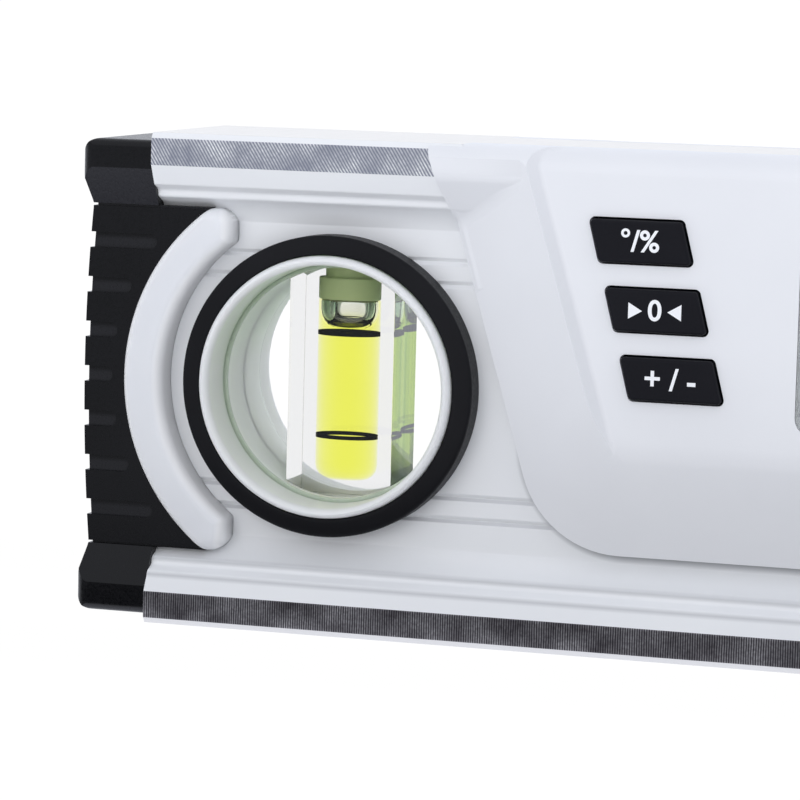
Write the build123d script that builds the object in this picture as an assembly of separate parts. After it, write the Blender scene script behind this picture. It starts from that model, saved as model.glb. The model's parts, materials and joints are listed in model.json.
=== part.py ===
from build123d import *
import os
from math import atan, cos, radians, sin, sqrt, tan

# Digital inclinometer in the form of a short box-beam level.
# Millimetres. X runs along the beam, the front faces -Y, Z is up and the base lies on Z = 0.

# Beam section, measured inwards from the milled faces and from the measuring edges
beam_height = 60.0
beam_thickness = 27.0
edge_chamfer_height = 0.8
edge_chamfer_depth = 0.5
strip_height = 3.05
outer_slope_height = 2.5
outer_slope_depth = 1.3
step_height = 0.65
step_depth = 1.35
land_height = 0.9
land_depth = 0.1
cove_height = 2.8
cove_depth = 3.25
cove_bend_depth = 2.1
cove_bend_height = 1.1
ridge_round = 0.5
groove_round = 0.6
web_wall = 1.8
flange_wall = 2.6
flange_side_wall = 2.2
web_groove_from_middle = 12.8
web_groove_pitch = 2.75
web_groove_width = 0.9
web_groove_depth = 0.4

# Round vial windows near the two ends
ring_end_margin = 4.9
ring_housing_gap = 3.54
bezel_web_margin = 1.0
bezel_width = 2.4
bezel_edge_depth = 2.7
bezel_lip_depth = 2.1
bezel_crown = 0.15
holder_shoulder = 1.1
holder_wall = 2.9
funnel_lip = 1.2
funnel_step = 0.5
funnel_step_depth = 7.3
holder_rim_depth = 1.2
ring_clearance = 0.05

# Acrylic vial block, its bore and what fills the bore
block_width = 13.4
block_depth = 9.6
block_edge_chamfer = 0.4
pocket_clearance = 0.1
pocket_wall = 0.95
vial_bore_radius = 3.95
vial_floor = 2.3
vial_floor_round = 1.8
plug_flange_share = 0.59
plug_neck_radius = 3.1
bubble_wall = 0.3
bubble_height = 3.55
bubble_round = 2.2
bubble_line_gap = 0.6
level_bubble_length = 11.6
level_bubble_sag = 2.6
level_bubble_width = 5.2
line_spacing = 12.7
line_drop = 0.55
line_width = 0.5
line_thickness = 0.2
vial_clearance = 0.02

# White end plugs with an arc on each side, and the rubber boots round them
arc_bezel_gap = 2.7
arc_band_width = 4.85
arc_tip_share = 0.4836
arc_tip_rise = 1.6
arc_tip_round = 2.0
arc_inner_round = 0.8
arc_top_depth = 2.0
arc_edge_round = 0.8
arc_soft_round = 1.5
spigot_holder_gap = 0.9
spigot_clearance = 0.1
boot_reach = 9.3
boot_waist_reach = 8.42
boot_bulge = 0.88
boot_edge_inset = 1.0
boot_lobe_height = 3.5
boot_lobe_slope = 4.5
boot_corner_radius = 2.4
boot_face_inset = 0.5
boot_waist_depth = 3.0
boot_edge_radius = 1.8
boot_top_round = 1.0
boot_waist_round = 4.5
boot_groove_count = 7
boot_groove_pitch = 5.5
boot_groove_height = 1.9
boot_groove_depth = 0.42
boot_groove_end_gap = 1.7
boot_crease = 0.3

# Display module: window, key columns, sunk panel, cheeks beside it and the housing's shell
window_width = 49.0
window_height = 27.0
window_thickness = 1.5
window_ledge = 1.5
window_corner_radius = 2.0
window_clearance = 0.1
key_row_drop = 18.5
key_gap_to_window = 11.3
key_width = 11.0
key_height = 5.0
key_pitch = 7.98
key_slant = 14.5
key_corner_radius = 0.45
key_edge_round = 0.4
key_proud = 0.9
key_clearance = 0.25
key_flange = 1.0
key_flange_thickness = 0.8
key_flange_gap = 0.3
key_stem_radius = 1.5
key_travel = 0.6
key_switch_gap = 0.75
key_rows = 3
panel_margin = 5.5
panel_lower_margin = 3.5
panel_corner_radius = 6.0
panel_proud = 0.2
panel_foot_round = 9.0
recess_slope = 1.2
recess_foot_round = 1.0
soft_edge_sink = 0.05
ridge_proud = 1.3
ridge_corner_radius = 4.0
ridge_overlap = 1.0
cheek_width = 11.75
cheek_edge = 1.2
housing_slant = 16.8
housing_height = 48.2
housing_corner_radius = 12.4
housing_skirt = 1.0
skirt_slope_height = 4.05
skirt_slope_depth = 3.15
skirt_round = 3.0
housing_top_round = 3.0
seam_width = 0.25
seam_depth = 0.4
housing_lip = 4.0
housing_clearance = 0.15
housing_wall = 2.0
panel_wall = 2.2
cavity_shoulder_depth = 5.5
cavity_panel_inset = 2.5

# Inside the display module
lcd_thickness = 1.6
lcd_gap = 0.1
lcd_overlap = 1.0
carrier_overlap = 1.5
carrier_wall = 1.2
board_side_margin = 1.7
board_edge_margin = 1.0
board_thickness = 1.6
board_setback = 7.9
switch_side = 6.0
switch_height = 2.4
switch_plunger_radius = 1.6
chip_side = 10.0
chip_height = 1.4
sensor_side = 4.0
sensor_height = 1.1
sensor_offset = 9.0
buzzer_radius = 4.5
buzzer_height = 4.0
buzzer_offset = 14.0
screw_radius = 1.1
screw_head_radius = 2.3
screw_head_height = 1.6
screw_bite = 4.0
screw_clearance = 0.15
boss_wall = 1.5
upper_screw_gap = 5.5
upper_screw_edge = 2.1
lower_screw_inset = 12.35
lower_screw_drop = 3.3
screw_seat = 4.0

# Battery compartment in the rear housing
battery_radius = 5.25
battery_length = 43.7
battery_nub_radius = 1.9
battery_nub_height = 0.8
battery_pitch = 11.2
battery_gap = 0.1
contact_thickness = 0.5
contact_side = 8.0
contact_gap = 0.1
tub_floor = 1.0
tub_floor_height = 0.2
tub_wall = 1.5
tub_side_gap = 0.3
door_ledge = 2.0
door_thickness = 1.5
door_clearance = 0.2
door_seat_gap = 0.1
door_corner_radius = 2.5
door_rib_count = 5
door_rib_pitch = 2.4
door_rib_width = 1.2
door_rib_length = 16.0
door_rib_proud = 0.8

# Places that follow from the sizes above
half_height = beam_height / 2
half_thickness = beam_thickness / 2
web_depth = outer_slope_depth + step_depth + land_depth + cove_depth
web_half = half_thickness - web_depth
slopes_height = outer_slope_height + step_height + land_height
flange_height = edge_chamfer_height + strip_height + slopes_height + cove_height
bezel_outer_radius = half_height - flange_height - bezel_web_margin
holder_neck_radius = bezel_outer_radius - bezel_width
holder_body_radius = holder_neck_radius + holder_shoulder
holder_bore_radius = holder_body_radius - holder_wall
funnel_mouth_radius = holder_neck_radius - funnel_lip
funnel_step_radius = holder_bore_radius + funnel_step
block_height = 2 * sqrt((holder_body_radius - pocket_wall) ** 2 - (block_width / 2) ** 2)
liquid_top = line_spacing / 2 - line_drop + bubble_line_gap + bubble_height
bubble_radius = vial_bore_radius - bubble_wall
arc_outer_radius = bezel_outer_radius + arc_bezel_gap + arc_band_width
arc_tip_from_ring = arc_tip_share * arc_outer_radius
ring_from_end = holder_body_radius + ring_end_margin
spigot_length = ring_end_margin - spigot_holder_gap
key_row_height = beam_height - key_row_drop
housing_bottom = beam_height - housing_height
panel_bottom = key_row_height - window_height / 2 - panel_lower_margin
window_half = window_width / 2
key_column_x = window_half + key_gap_to_window + key_width / 2
panel_half = key_column_x + key_width / 2 + panel_margin
board_half_width = key_column_x + key_width / 2 + board_side_margin
board_height = window_height + 2 * board_edge_margin
upper_screw_x = window_half + upper_screw_gap
lower_screw_x = panel_half - lower_screw_inset
housing_half = panel_half + cheek_width
housing_top_half = housing_half + key_row_drop * tan(radians(housing_slant))
housing_middle_half = housing_half - (key_row_height - half_height) * tan(radians(housing_slant))
ring_x = housing_middle_half + ring_housing_gap + bezel_outer_radius
half_length = ring_x + ring_from_end
panel_y = -half_thickness - panel_proud
panel_inner_y = panel_y + panel_wall
ridge_y = -half_thickness - ridge_proud
skirt_y = -web_half - housing_skirt
through = 4 * beam_thickness


def front_plane(y):
    """Drawing plane facing the front, at a given y: drawn x is X, drawn y is Z."""
    return Plane.XZ.offset(-y)


def slab(face, y_front, y_back):
    """Solid of a front-plane outline between two values of y."""
    return extrude(front_plane(y_back) * face, amount=y_back - y_front)


def block(width, y_front, y_back, height, x=0.0, z=0.0):
    """Box between two values of y, centred at x and z."""
    return Pos(x, (y_front + y_back) / 2, z) * Box(width, y_back - y_front, height)


def rod(radius, y_front, y_back, x=0.0, z=0.0):
    """Round bar along Y between two values of y."""
    return Pos(x, (y_front + y_back) / 2, z) * Rot(90, 0, 0) * Cylinder(radius, y_back - y_front)


def mirrored_quarter(quarter):
    """Full section from its quarter in the first quadrant."""
    half = quarter + mirror(quarter, about=Plane.YZ)
    return half + mirror(half, about=Plane.XZ)


def round_corner(face, point, radius):
    """Face with its corner at a point rounded."""
    return fillet(face.vertices().sort_by_distance(point)[0], radius)


def beam_outline(grooves=False):
    """Outer section of the beam about its centre, drawn x across and y up."""
    edge = half_thickness
    strip_top = half_height - edge_chamfer_height
    strip_low = strip_top - strip_height
    ridge = (edge - outer_slope_depth, strip_low - outer_slope_height)
    groove = (ridge[0] - step_depth, ridge[1] - step_height)
    cove_top = (groove[0] - land_depth, groove[1] - land_height)
    web = cove_top[0] - cove_depth
    cove_bend = (cove_top[0] - cove_bend_depth, cove_top[1] - cove_bend_height)
    cove_foot = (web, cove_top[1] - cove_height)
    lines = Polyline((0, 0), (0, half_height), (edge - edge_chamfer_depth, half_height), (edge, strip_top))
    lines += Polyline((edge, strip_top), (edge, strip_low), ridge, groove, cove_top)
    lines += ThreePointArc(cove_top, cove_bend, cove_foot)
    lines += Polyline(cove_foot, (web, 0), (0, 0))
    quarter = make_face(lines)
    for corner, radius in ((ridge, ridge_round), (groove, groove_round), (cove_top, ridge_round)):
        quarter = round_corner(quarter, corner, radius)
    if grooves:
        for step in range(2):
            middle = web_groove_from_middle + step * web_groove_pitch
            notch = Polyline(
                (web, middle - web_groove_width / 2),
                (web - web_groove_depth, middle),
                (web, middle + web_groove_width / 2),
                close=True,
            )
            quarter -= make_face(notch)
    return mirrored_quarter(quarter)


def skirt_outline():
    """Section of the housing's skirt about the beam's centre: it lies smoothly over the flange."""
    edge = half_thickness + housing_skirt
    web = web_half + housing_skirt
    strip_low = half_height - edge_chamfer_height - strip_height
    bend = (edge - skirt_slope_depth, strip_low - skirt_slope_height)
    foot = (web, half_height - flange_height)
    lines = Polyline((0, 0), (0, half_height), (edge, half_height), (edge, strip_low), bend, foot)
    lines += Polyline(foot, (web, 0), (0, 0))
    quarter = make_face(lines)
    for corner in ((edge, strip_low), bend, foot):
        quarter = round_corner(quarter, corner, skirt_round)
    return mirrored_quarter(quarter)


def beam_hollow():
    """Inner section of the beam about its centre."""
    roof = half_height - flange_wall
    wide = half_thickness - flange_side_wall
    narrow = web_half - web_wall
    shoulder_high = half_height - edge_chamfer_height - strip_height
    shoulder_low = half_height - flange_height
    lines = Polyline((0, 0), (0, roof), (wide, roof), (wide, shoulder_high))
    lines += Polyline((wide, shoulder_high), (narrow, shoulder_low), (narrow, 0), (0, 0))
    return mirrored_quarter(make_face(lines))


def along_beam(section, x_from, x_to):
    """Solid of a section between two values of x, with the section's centre at mid-height."""
    plane = Plane(origin=(x_from, 0, half_height), x_dir=(0, 1, 0), z_dir=(1, 0, 0))
    return extrude(plane * section, amount=x_to - x_from)


def leaning_face(top_half, top, low_half, low):
    """Symmetrical face between two heights, with its half width at each."""
    corners = ((-top_half, top), (top_half, top), (low_half, low), (-low_half, low))
    return make_face(Polyline(*corners, close=True))


def shield(half_width, slant, bottom, radius, inset=0.0, top=beam_height):
    """Housing outline: straight top, sides leaning inwards and two rounded lower corners."""
    lean = tan(radians(slant))
    half = half_width - inset / cos(radians(slant))
    low = bottom + inset
    top_half = half + (top - key_row_height) * lean
    low_half = half - (key_row_height - low) * lean
    face = leaning_face(top_half, top, low_half, low)
    corners = face.vertices().group_by(Axis.Y)[0]
    return fillet(corners, max(radius - inset, housing_clearance))


def housing_outline(inset=0.0, top=beam_height):
    return shield(housing_half, housing_slant, housing_bottom, housing_corner_radius, inset, top)


def panel_outline(inset=0.0, top=beam_height):
    return shield(panel_half, housing_slant, panel_bottom, panel_corner_radius, inset, top)


def panel_sides(inset):
    """Leaning band between the two ridges, taller than the housing."""
    lean = tan(radians(housing_slant))
    half = panel_half - inset / cos(radians(housing_slant))
    top = beam_height + housing_height
    top_half = half + (top - key_row_height) * lean
    low_half = half - key_row_height * lean
    return leaning_face(top_half, top, low_half, 0)


def key_outline(grow=0.0):
    """Leaning key about its own centre, leaning as the left column does."""
    lean = tan(radians(key_slant))
    half_w = key_width / 2 + grow / cos(radians(key_slant))
    half_h = key_height / 2 + grow
    shift = half_h * lean
    face = make_face(
        Polyline(
            (-half_w - shift, half_h),
            (half_w - shift, half_h),
            (half_w + shift, -half_h),
            (-half_w + shift, -half_h),
            close=True,
        )
    )
    return fillet(face.vertices(), key_corner_radius + grow)


def key_places():
    """Side, row and centre of every key; side -1 is the left column, row 0 the upper row."""
    places = []
    for side in (-1, 1):
        for row in range(key_rows):
            up = ((key_rows - 1) / 2 - row) * key_pitch
            x = side * (key_column_x + up * tan(radians(key_slant)))
            places.append((side, row, x, key_row_height + up))
    return places


def key_face(side, x, z, grow=0.0):
    """Key outline at its place; the right column leans the other way."""
    outline = key_outline(grow)
    if side > 0:
        outline = mirror(outline, about=Plane.YZ)
    return Pos(x, z) * outline


def make_beam():
    beam = along_beam(beam_outline(grooves=True), -half_length, half_length)
    beam -= along_beam(beam_hollow(), -half_length, half_length)
    for side in (-1, 1):
        beam -= rod(holder_body_radius + ring_clearance, -through, through, side * ring_x, half_height)
    notch = slab(housing_outline(housing_lip, beam_height + housing_wall), -through, through)
    top_bar = block(2 * half_length, skirt_y, -skirt_y, flange_wall, 0, beam_height - flange_wall / 2)
    return beam - (notch - top_bar)


def make_bezel():
    """Front bezel about the Y axis: a ring with a crowned, sloping face."""
    inner = holder_neck_radius + ring_clearance
    lip_y = -half_thickness + bezel_lip_depth
    edge_y = -half_thickness + bezel_edge_depth
    lines = Polyline((inner, -web_half), (inner, lip_y))
    middle = ((inner + bezel_outer_radius) / 2 + bezel_crown, (lip_y + edge_y) / 2 - bezel_crown)
    lines += ThreePointArc((inner, lip_y), middle, (bezel_outer_radius, edge_y))
    lines += Polyline((bezel_outer_radius, edge_y), (bezel_outer_radius, -web_half), (inner, -web_half))
    return revolve(make_face(lines), axis=Axis.Y)


def make_holder():
    """Front half of a vial holder about the Y axis, with a pocket for an upright block."""
    rim_y = -half_thickness + holder_rim_depth
    neck_y = -half_thickness + bezel_lip_depth
    step_y = -half_thickness + funnel_step_depth
    crown = ((funnel_mouth_radius + holder_neck_radius) / 2, rim_y)
    lines = Polyline((holder_bore_radius, 0), (holder_bore_radius, step_y), (funnel_step_radius, step_y))
    lines += Line((funnel_step_radius, step_y), (funnel_mouth_radius, neck_y))
    lines += ThreePointArc((funnel_mouth_radius, neck_y), crown, (holder_neck_radius, neck_y))
    lines += Polyline(
        (holder_neck_radius, neck_y),
        (holder_neck_radius, -web_half),
        (holder_body_radius, -web_half),
        (holder_body_radius, 0),
        (holder_bore_radius, 0),
    )
    ring = revolve(make_face(lines), axis=Axis.Y)
    play = 2 * pocket_clearance
    return ring - Box(block_width + play, block_depth + play, block_height + play)


def vial_bore(radius, top, floor_clearance=0.0):
    """Round bore about Z with a rounded floor, up to a given height above the block's centre."""
    floor = -block_height / 2 + vial_floor + floor_clearance
    bore = Pos(0, 0, (floor + top) / 2) * Cylinder(radius, top - floor)
    return fillet(bore.edges().group_by(Axis.Z)[0], vial_floor_round)


def make_block():
    body = Box(block_width, block_depth, block_height)
    body = chamfer(body.edges().filter_by(Axis.Z), block_edge_chamfer)
    return body - vial_bore(vial_bore_radius, block_height / 2)


def make_lines():
    """Two reading rings on the wall of the bore."""
    rings = []
    for side in (-1, 1):
        outer = Cylinder(vial_bore_radius - vial_clearance, line_width)
        ring = outer - Cylinder(vial_bore_radius - vial_clearance - line_thickness, line_width)
        rings.append(Pos(0, 0, side * line_spacing / 2 - line_drop) * ring)
    return rings


def make_vial_plug():
    """Stopper with a flange that fills the bore and a thinner neck above it."""
    length = block_height / 2 - liquid_top
    flange_height = plug_flange_share * length
    flange = Cylinder(vial_bore_radius - vial_clearance, flange_height)
    neck = Pos(0, 0, liquid_top + length / 2) * Cylinder(plug_neck_radius, length)
    return neck + Pos(0, 0, liquid_top + flange_height / 2) * flange


def make_liquid(level):
    """Liquid in the bore, hollow where the bubble floats: at the plug, or half way if level."""
    top = liquid_top - vial_clearance
    radius = vial_bore_radius - vial_clearance
    liquid = vial_bore(radius, top, vial_clearance)
    groove_inner = radius - line_thickness - vial_clearance
    groove = Cylinder(vial_bore_radius, line_width + 2 * vial_clearance)
    groove -= Cylinder(groove_inner, 2 * line_width)
    for side in (-1, 1):
        liquid -= Pos(0, 0, side * line_spacing / 2 - line_drop) * groove
    if not level:
        bubble = Pos(0, 0, top - bubble_height / 2) * Cylinder(bubble_radius, bubble_height)
        return liquid - fillet(bubble.edges().group_by(Axis.Z)[0], bubble_round)
    lens_radius = (level_bubble_length / 2) ** 2 / (2 * level_bubble_sag) + level_bubble_sag / 2
    depth = groove_inner - vial_clearance - level_bubble_sag
    profile = Pos(depth + lens_radius, -line_drop) * Circle(lens_radius)
    reach = groove_inner - vial_clearance
    profile &= Pos(reach / 2, -line_drop) * Rectangle(reach, level_bubble_length)
    return liquid - extrude(Plane.XZ * profile, amount=level_bubble_width / 2, both=True)


def arc_band():
    """Front view of the left arc about the ring's centre, its tips cut square and rounded."""
    inner = arc_outer_radius - arc_band_width
    tip_height = half_height - flange_height + arc_tip_rise
    reach = arc_outer_radius - arc_tip_from_ring
    frame = Pos(-arc_tip_from_ring - reach / 2, 0) * Rectangle(reach, 2 * tip_height)
    band = (Circle(arc_outer_radius) - Circle(inner)) & frame
    inner_height = sqrt(inner**2 - arc_tip_from_ring**2)
    for side in (-1, 1):
        band = round_corner(band, (-arc_tip_from_ring, side * tip_height), arc_tip_round)
        band = round_corner(band, (-arc_tip_from_ring, side * inner_height), arc_inner_round)
    return band


def front_circle(solid, radius):
    """Edge of a solid's front face nearest to a given radius."""
    circles = solid.faces().sort_by(Axis.Y)[0].edges().filter_by(GeomType.CIRCLE)
    return circles.sort_by(lambda edge: abs(edge.radius - radius))[0]


def make_end_plug():
    """Left end plug: spigot in the beam, rounded end and an arc on the front and rear webs."""
    end = -half_length
    arc_y = -half_thickness + arc_top_depth
    front = slab(Pos(-ring_x, half_height) * arc_band(), arc_y, -web_half)
    front = fillet(front_circle(front, arc_outer_radius - arc_band_width), arc_soft_round)
    front = fillet(front_circle(front, arc_outer_radius), arc_edge_round)
    bands = front + mirror(front, about=Plane.XZ)
    bands -= along_beam(beam_outline(), end, half_length)
    reach = arc_outer_radius - ring_from_end
    cap = rod(arc_outer_radius, -web_half - arc_edge_round, web_half + arc_edge_round, -ring_x, half_height)
    cap &= block(reach, -half_thickness, half_thickness, beam_height, end - reach / 2, half_height)
    narrow = web_half - web_wall - spigot_clearance
    spigot_height = 2 * (half_height - flange_height)
    spigot = block(spigot_length, -narrow, narrow, spigot_height, end + spigot_length / 2, half_height)
    return bands + cap + spigot


def boot_profile():
    """Section of a boot across the beam: two lobes and a thinner waist."""
    lobe_top = half_height - boot_edge_inset
    lobe_low = lobe_top - boot_lobe_height
    waist_top = lobe_low - boot_lobe_slope
    lobe = half_thickness - boot_face_inset
    waist = half_thickness - boot_waist_depth
    lines = Polyline((0, 0), (0, lobe_top), (lobe, lobe_top), (lobe, lobe_low))
    lines += Polyline((lobe, lobe_low), (waist, waist_top), (waist, 0), (0, 0))
    return mirrored_quarter(round_corner(make_face(lines), (lobe, lobe_top), boot_top_round))


def boot_side_outline():
    """Left boot seen from the front, with x from the beam's end and y from mid-height."""
    lobe_top = half_height - boot_edge_inset
    lobe_low = lobe_top - boot_lobe_height
    waist_top = lobe_low - boot_lobe_slope
    waist = (-boot_waist_reach, waist_top)
    middle = (-boot_waist_reach - boot_bulge, 0)
    lines = Polyline((0, 0), (0, lobe_top), (-boot_reach, lobe_top), (-boot_reach, lobe_low), waist)
    lines += ThreePointArc(waist, (middle[0] + boot_bulge / 4, waist_top / 2), middle)
    lines += Line(middle, (0, 0))
    half = make_face(lines)
    half = round_corner(half, (-boot_reach, lobe_top), boot_corner_radius)
    half = round_corner(half, (-boot_reach, lobe_low), boot_waist_round)
    half = round_corner(half, waist, boot_waist_round)
    return half + mirror(half, about=Plane.XZ)


def make_boot():
    """Left rubber boot with grip grooves round its end."""
    end = -half_length
    waist = half_thickness - boot_waist_depth
    waist_height = 2 * (half_height - boot_edge_inset - boot_lobe_height - boot_lobe_slope)
    cap = slab(Pos(end, half_height) * boot_side_outline(), -half_thickness, half_thickness)
    cap &= along_beam(boot_profile(), end - boot_reach, end)
    plan = RectangleRounded(2 * boot_reach, 2 * (half_thickness - boot_face_inset), boot_edge_radius)
    cap &= Pos(end, 0, 0) * extrude(plan, amount=beam_height)
    tongue_reach = ring_from_end - sqrt(arc_outer_radius**2 - (waist_height / 2) ** 2)
    tongue = block(tongue_reach, -waist, waist, waist_height, end + tongue_reach / 2, half_height)
    tongue -= along_beam(beam_outline(), end, half_length)
    boot = cap + tongue
    boot -= rod(arc_outer_radius + ring_clearance, -through, through, -ring_x, half_height)
    core_half = waist - boot_groove_depth
    core = slab(Pos(end + boot_groove_depth, half_height) * boot_side_outline(), -core_half, core_half)
    core += block(2 * tongue_reach, -core_half, core_half, waist_height, end, half_height)
    for index in range(boot_groove_count):
        dz = (index - (boot_groove_count - 1) / 2) * boot_groove_pitch
        groove_end = ring_from_end - sqrt((arc_outer_radius + boot_groove_end_gap) ** 2 - dz**2)
        slot_length = 2 * boot_reach + groove_end
        slot = SlotOverall(slot_length, boot_groove_height)
        place = Pos(end + groove_end - slot_length / 2, half_height + dz)
        boot -= slab(place * slot, -half_thickness, half_thickness) - core
    for side in (-1, 1):
        z = half_height + side * (waist_height - boot_crease) / 2
        boot -= block(4 * boot_reach, -half_thickness, half_thickness, boot_crease, end, z) - core
    return boot


def lower_slope():
    """Rise of the housing's lower slope for each millimetre of height."""
    return (skirt_y - cheek_edge - panel_y) / (panel_bottom - housing_bottom)


def make_recess():
    """Cutter for the sunk panel: sloping side walls, a rounded top edge and a soft lower edge."""
    wall_run = recess_slope / (panel_y - ridge_y)
    back = panel_y + housing_top_round
    front = ridge_y - housing_top_round
    wide = front_plane(front) * panel_sides((front - ridge_y) * wall_run)
    narrow = front_plane(back) * panel_sides((back - ridge_y) * wall_run)
    walls = loft([narrow, wide], ruled=True)
    slope = atan(lower_slope())
    run = panel_foot_round * tan(slope / 2)
    sink = panel_foot_round * (1 / cos(slope / 2) - 1) + soft_edge_sink
    arc_top = (panel_y, panel_bottom + run)
    arc_middle = (panel_y + sink * cos(slope / 2), panel_bottom + sink * sin(slope / 2))
    arc_low = (panel_y + run * sin(slope), panel_bottom - run * cos(slope))
    top = beam_height + housing_height
    bend = housing_top_round * (1 - sqrt(1 / 2))
    bend_low = (panel_y, beam_height - housing_top_round)
    lines = Polyline((back, beam_height), (back, top), (front, top), (front, arc_low[1]), arc_low)
    lines += ThreePointArc(arc_low, arc_middle, arc_top)
    lines += Line(arc_top, bend_low)
    lines += ThreePointArc(bend_low, (panel_y + bend, beam_height - bend), (back, beam_height))
    cutter = walls & across_housing(make_face(lines))
    feet = [edge for edge in cutter.edges() if abs(edge.center().Y - panel_y) < soft_edge_sink]
    feet = [edge for edge in feet if abs(edge.center().X) > window_half]
    return fillet(feet, recess_foot_round)


def across_housing(profile):
    """Solid of a side profile, drawn x being Y and drawn y being Z, over the housing's whole width."""
    plane = Plane(origin=(-housing_top_half, 0, 0), x_dir=(0, 1, 0), z_dir=(1, 0, 0))
    return extrude(plane * profile, amount=2 * housing_top_half)


def make_housing_shell():
    """Front half of the display housing before its windows, keys and bosses."""
    edge_y = skirt_y - cheek_edge
    rise = (edge_y - ridge_y) / cheek_width
    crest_y = ridge_y - rise * ridge_overlap
    crest_bottom = panel_bottom + (panel_y - crest_y) / lower_slope()
    crest = shield(panel_half - ridge_overlap, housing_slant, crest_bottom, ridge_corner_radius)
    skirt = along_beam(skirt_outline(), -housing_top_half, housing_top_half)
    skirt &= slab(housing_outline(), -through, 0)
    edge = slab(housing_outline(), edge_y, skirt_y)
    cheek_foot = front_plane(edge_y) * housing_outline()
    cheeks = loft([cheek_foot, front_plane(crest_y) * crest], ruled=True)
    core = slab(housing_outline(housing_lip + housing_clearance, beam_height), skirt_y, 0)
    front = ridge_y - soft_edge_sink
    profile = make_face(Polyline((front, 0), (0, 0), (0, beam_height), (front, beam_height), close=True))
    profile = round_corner(profile, (front, beam_height), housing_top_round)
    shell = (skirt + edge + cheeks + core) & across_housing(profile)
    shell -= make_recess()
    seam_half = panel_half + key_row_drop * tan(radians(housing_slant))
    shell -= block(2 * seam_half, skirt_y - seam_width, skirt_y, 2 * seam_depth, 0, beam_height)
    inset = housing_lip + housing_clearance + housing_wall
    roof = beam_height - housing_wall
    shell -= slab(housing_outline(inset, roof), -half_thickness + cavity_shoulder_depth, 0)
    shell -= slab(panel_outline(cavity_panel_inset, roof), panel_inner_y, 0)
    return shell


def screw_places():
    """Centres of the housing screws and the y their bosses start from."""
    upper = key_row_height + board_height / 2 - upper_screw_edge
    lower = panel_bottom - lower_screw_drop
    places = []
    for side in (-1, 1):
        places.append((side * upper_screw_x, upper, panel_inner_y))
        places.append((side * lower_screw_x, lower, -half_thickness + cavity_shoulder_depth))
    return places


def boss_end(z):
    """Where the front boss ends: at the board for the upper screws, at the joint for the lower."""
    if z > key_row_height:
        return panel_y + board_setback
    return 0.0


def make_front_housing(beam):
    shell = make_housing_shell()
    for x, z, start in screw_places():
        shell += rod(screw_radius + boss_wall, start, boss_end(z), x, z)
        shell -= rod(screw_radius, boss_end(z) - screw_bite, boss_end(z), x, z)
    shell -= slab(window_face(window_clearance), panel_y, panel_y + window_thickness + window_clearance)
    shell -= slab(window_face(-window_ledge), panel_y, 0)
    for side, row, x, z in key_places():
        shell -= slab(key_face(side, x, z, key_clearance), panel_y, 0)
    return shell - beam


def window_face(grow):
    size = (window_width + 2 * grow, window_height + 2 * grow)
    return Pos(0, key_row_height) * RectangleRounded(*size, window_corner_radius + grow)


def tub_half_length():
    """Inner half length of the battery compartment."""
    return (battery_length + battery_nub_height) / 2 + contact_thickness + 2 * contact_gap


def tub_half_height():
    return battery_pitch / 2 + battery_radius + tub_side_gap


def door_face(grow):
    half_x = tub_half_length() + door_ledge + grow
    half_z = tub_half_height() + door_ledge + grow
    return Pos(0, key_row_height) * RectangleRounded(2 * half_x, 2 * half_z, door_corner_radius + grow)


def make_rear_housing(beam):
    shell = mirror(make_housing_shell(), about=Plane.XZ)
    half_x = tub_half_length()
    half_z = tub_half_height()
    outer = 2 * tub_wall
    tub = block(2 * half_x + outer, tub_floor_height, -panel_inner_y, 2 * half_z + outer, 0, key_row_height)
    shell += tub
    for x, z, start in screw_places():
        tip = boss_end(z) + board_thickness if z > key_row_height else 0
        shell += rod(screw_head_radius + screw_clearance + boss_wall, max(tip, 0), -start, x, z)
        shell += rod(screw_radius + boss_wall, tip, -start, x, z)
        shell -= rod(screw_radius + screw_clearance, -through, through, x, z)
        shell -= rod(screw_head_radius + screw_clearance, screw_seat, through, x, z)
    shell -= block(2 * half_x, tub_floor_height + tub_floor, through, 2 * half_z, 0, key_row_height)
    shell -= slab(door_face(door_clearance), -panel_y - door_thickness - door_seat_gap, through)
    return shell - beam


def make_screws():
    screws = []
    for x, z, start in screw_places():
        tip = boss_end(z) - screw_bite
        shank = rod(screw_radius, tip, screw_seat, x, z)
        screws.append(shank + rod(screw_head_radius, screw_seat, screw_seat + screw_head_height, x, z))
    return screws


def make_window():
    return slab(window_face(0), panel_y, panel_y + window_thickness)


def make_lcd():
    y = panel_inner_y + lcd_gap
    grow = lcd_overlap - window_ledge
    size = (window_width + 2 * grow, window_height + 2 * grow)
    return block(size[0], y, y + lcd_thickness, size[1], 0, key_row_height)


def make_carrier():
    """Frame that holds the display glass against the housing and stands on the board."""
    front = panel_inner_y + lcd_gap
    back = panel_y + board_setback - lcd_gap
    width = window_width + 2 * (lcd_overlap - window_ledge + lcd_gap)
    height = window_height + 2 * (lcd_overlap - window_ledge + lcd_gap)
    ledge = 2 * carrier_overlap
    frame = block(width + 2 * carrier_wall, front, back, height + 2 * carrier_wall, 0, key_row_height)
    frame -= block(width, front, front + lcd_thickness + lcd_gap, height, 0, key_row_height)
    return frame - block(width - ledge, front, back, height - ledge, 0, key_row_height)


def make_board():
    front = panel_y + board_setback
    board = block(2 * board_half_width, front, front + board_thickness, board_height, 0, key_row_height)
    for x, z, start in screw_places():
        board -= rod(screw_radius + screw_clearance, -through, through, x, z)
    return board


def make_switches():
    front = panel_y + board_setback
    switches = []
    for side, row, x, z in key_places():
        body = block(switch_side, front - switch_height, front, switch_side, x, z)
        top = front - switch_height
        switches.append(body + rod(switch_plunger_radius, switch_top(), top, x, z))
    return switches


def switch_top():
    """Front end of the switch plungers, short of the key stems by the switch gap."""
    return key_stem_end() + key_switch_gap


def key_stem_end():
    return panel_inner_y + key_flange_gap + key_flange_thickness + key_travel


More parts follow.
